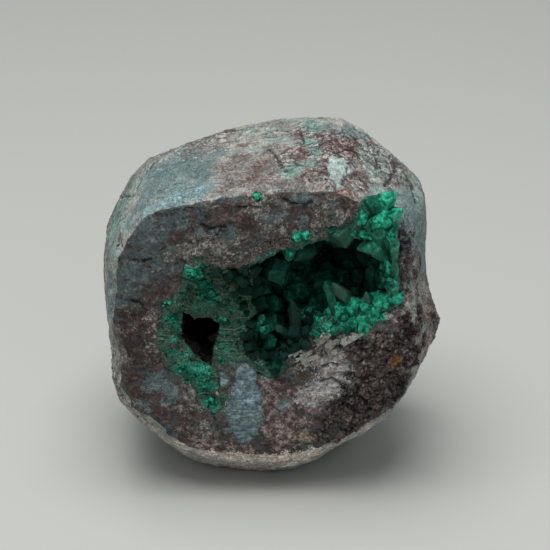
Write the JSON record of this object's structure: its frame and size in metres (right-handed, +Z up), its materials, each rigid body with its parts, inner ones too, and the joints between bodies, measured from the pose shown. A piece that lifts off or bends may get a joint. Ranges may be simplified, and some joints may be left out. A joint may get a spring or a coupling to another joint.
{
  "type": "dioptase geode",
  "caption": "Hand-sized nodule of copper-stained rock, broken open at the front, with a hollow lined by green dioptase crystals, resting on a worn flat base.",
  "frame": {"origin": "middle of the flat worn base, under the middle of the box that holds the geode", "axes": "+Z up; the broken face with the hollow looks along -Y; +X is to the right when looking at it"},
  "size_m": [0.0778, 0.0532, 0.0804],
  "materials": {
    "rock": "rough weathered rock with teal and maroon stains",
    "dioptase": "clear emerald green crystal, glassy faces"
  },
  "bodies": {
    "root": {"rock": "rock", "dioptase_crust": "dioptase", "ridge_crystals": "dioptase"}
  },
  "joints": []
}
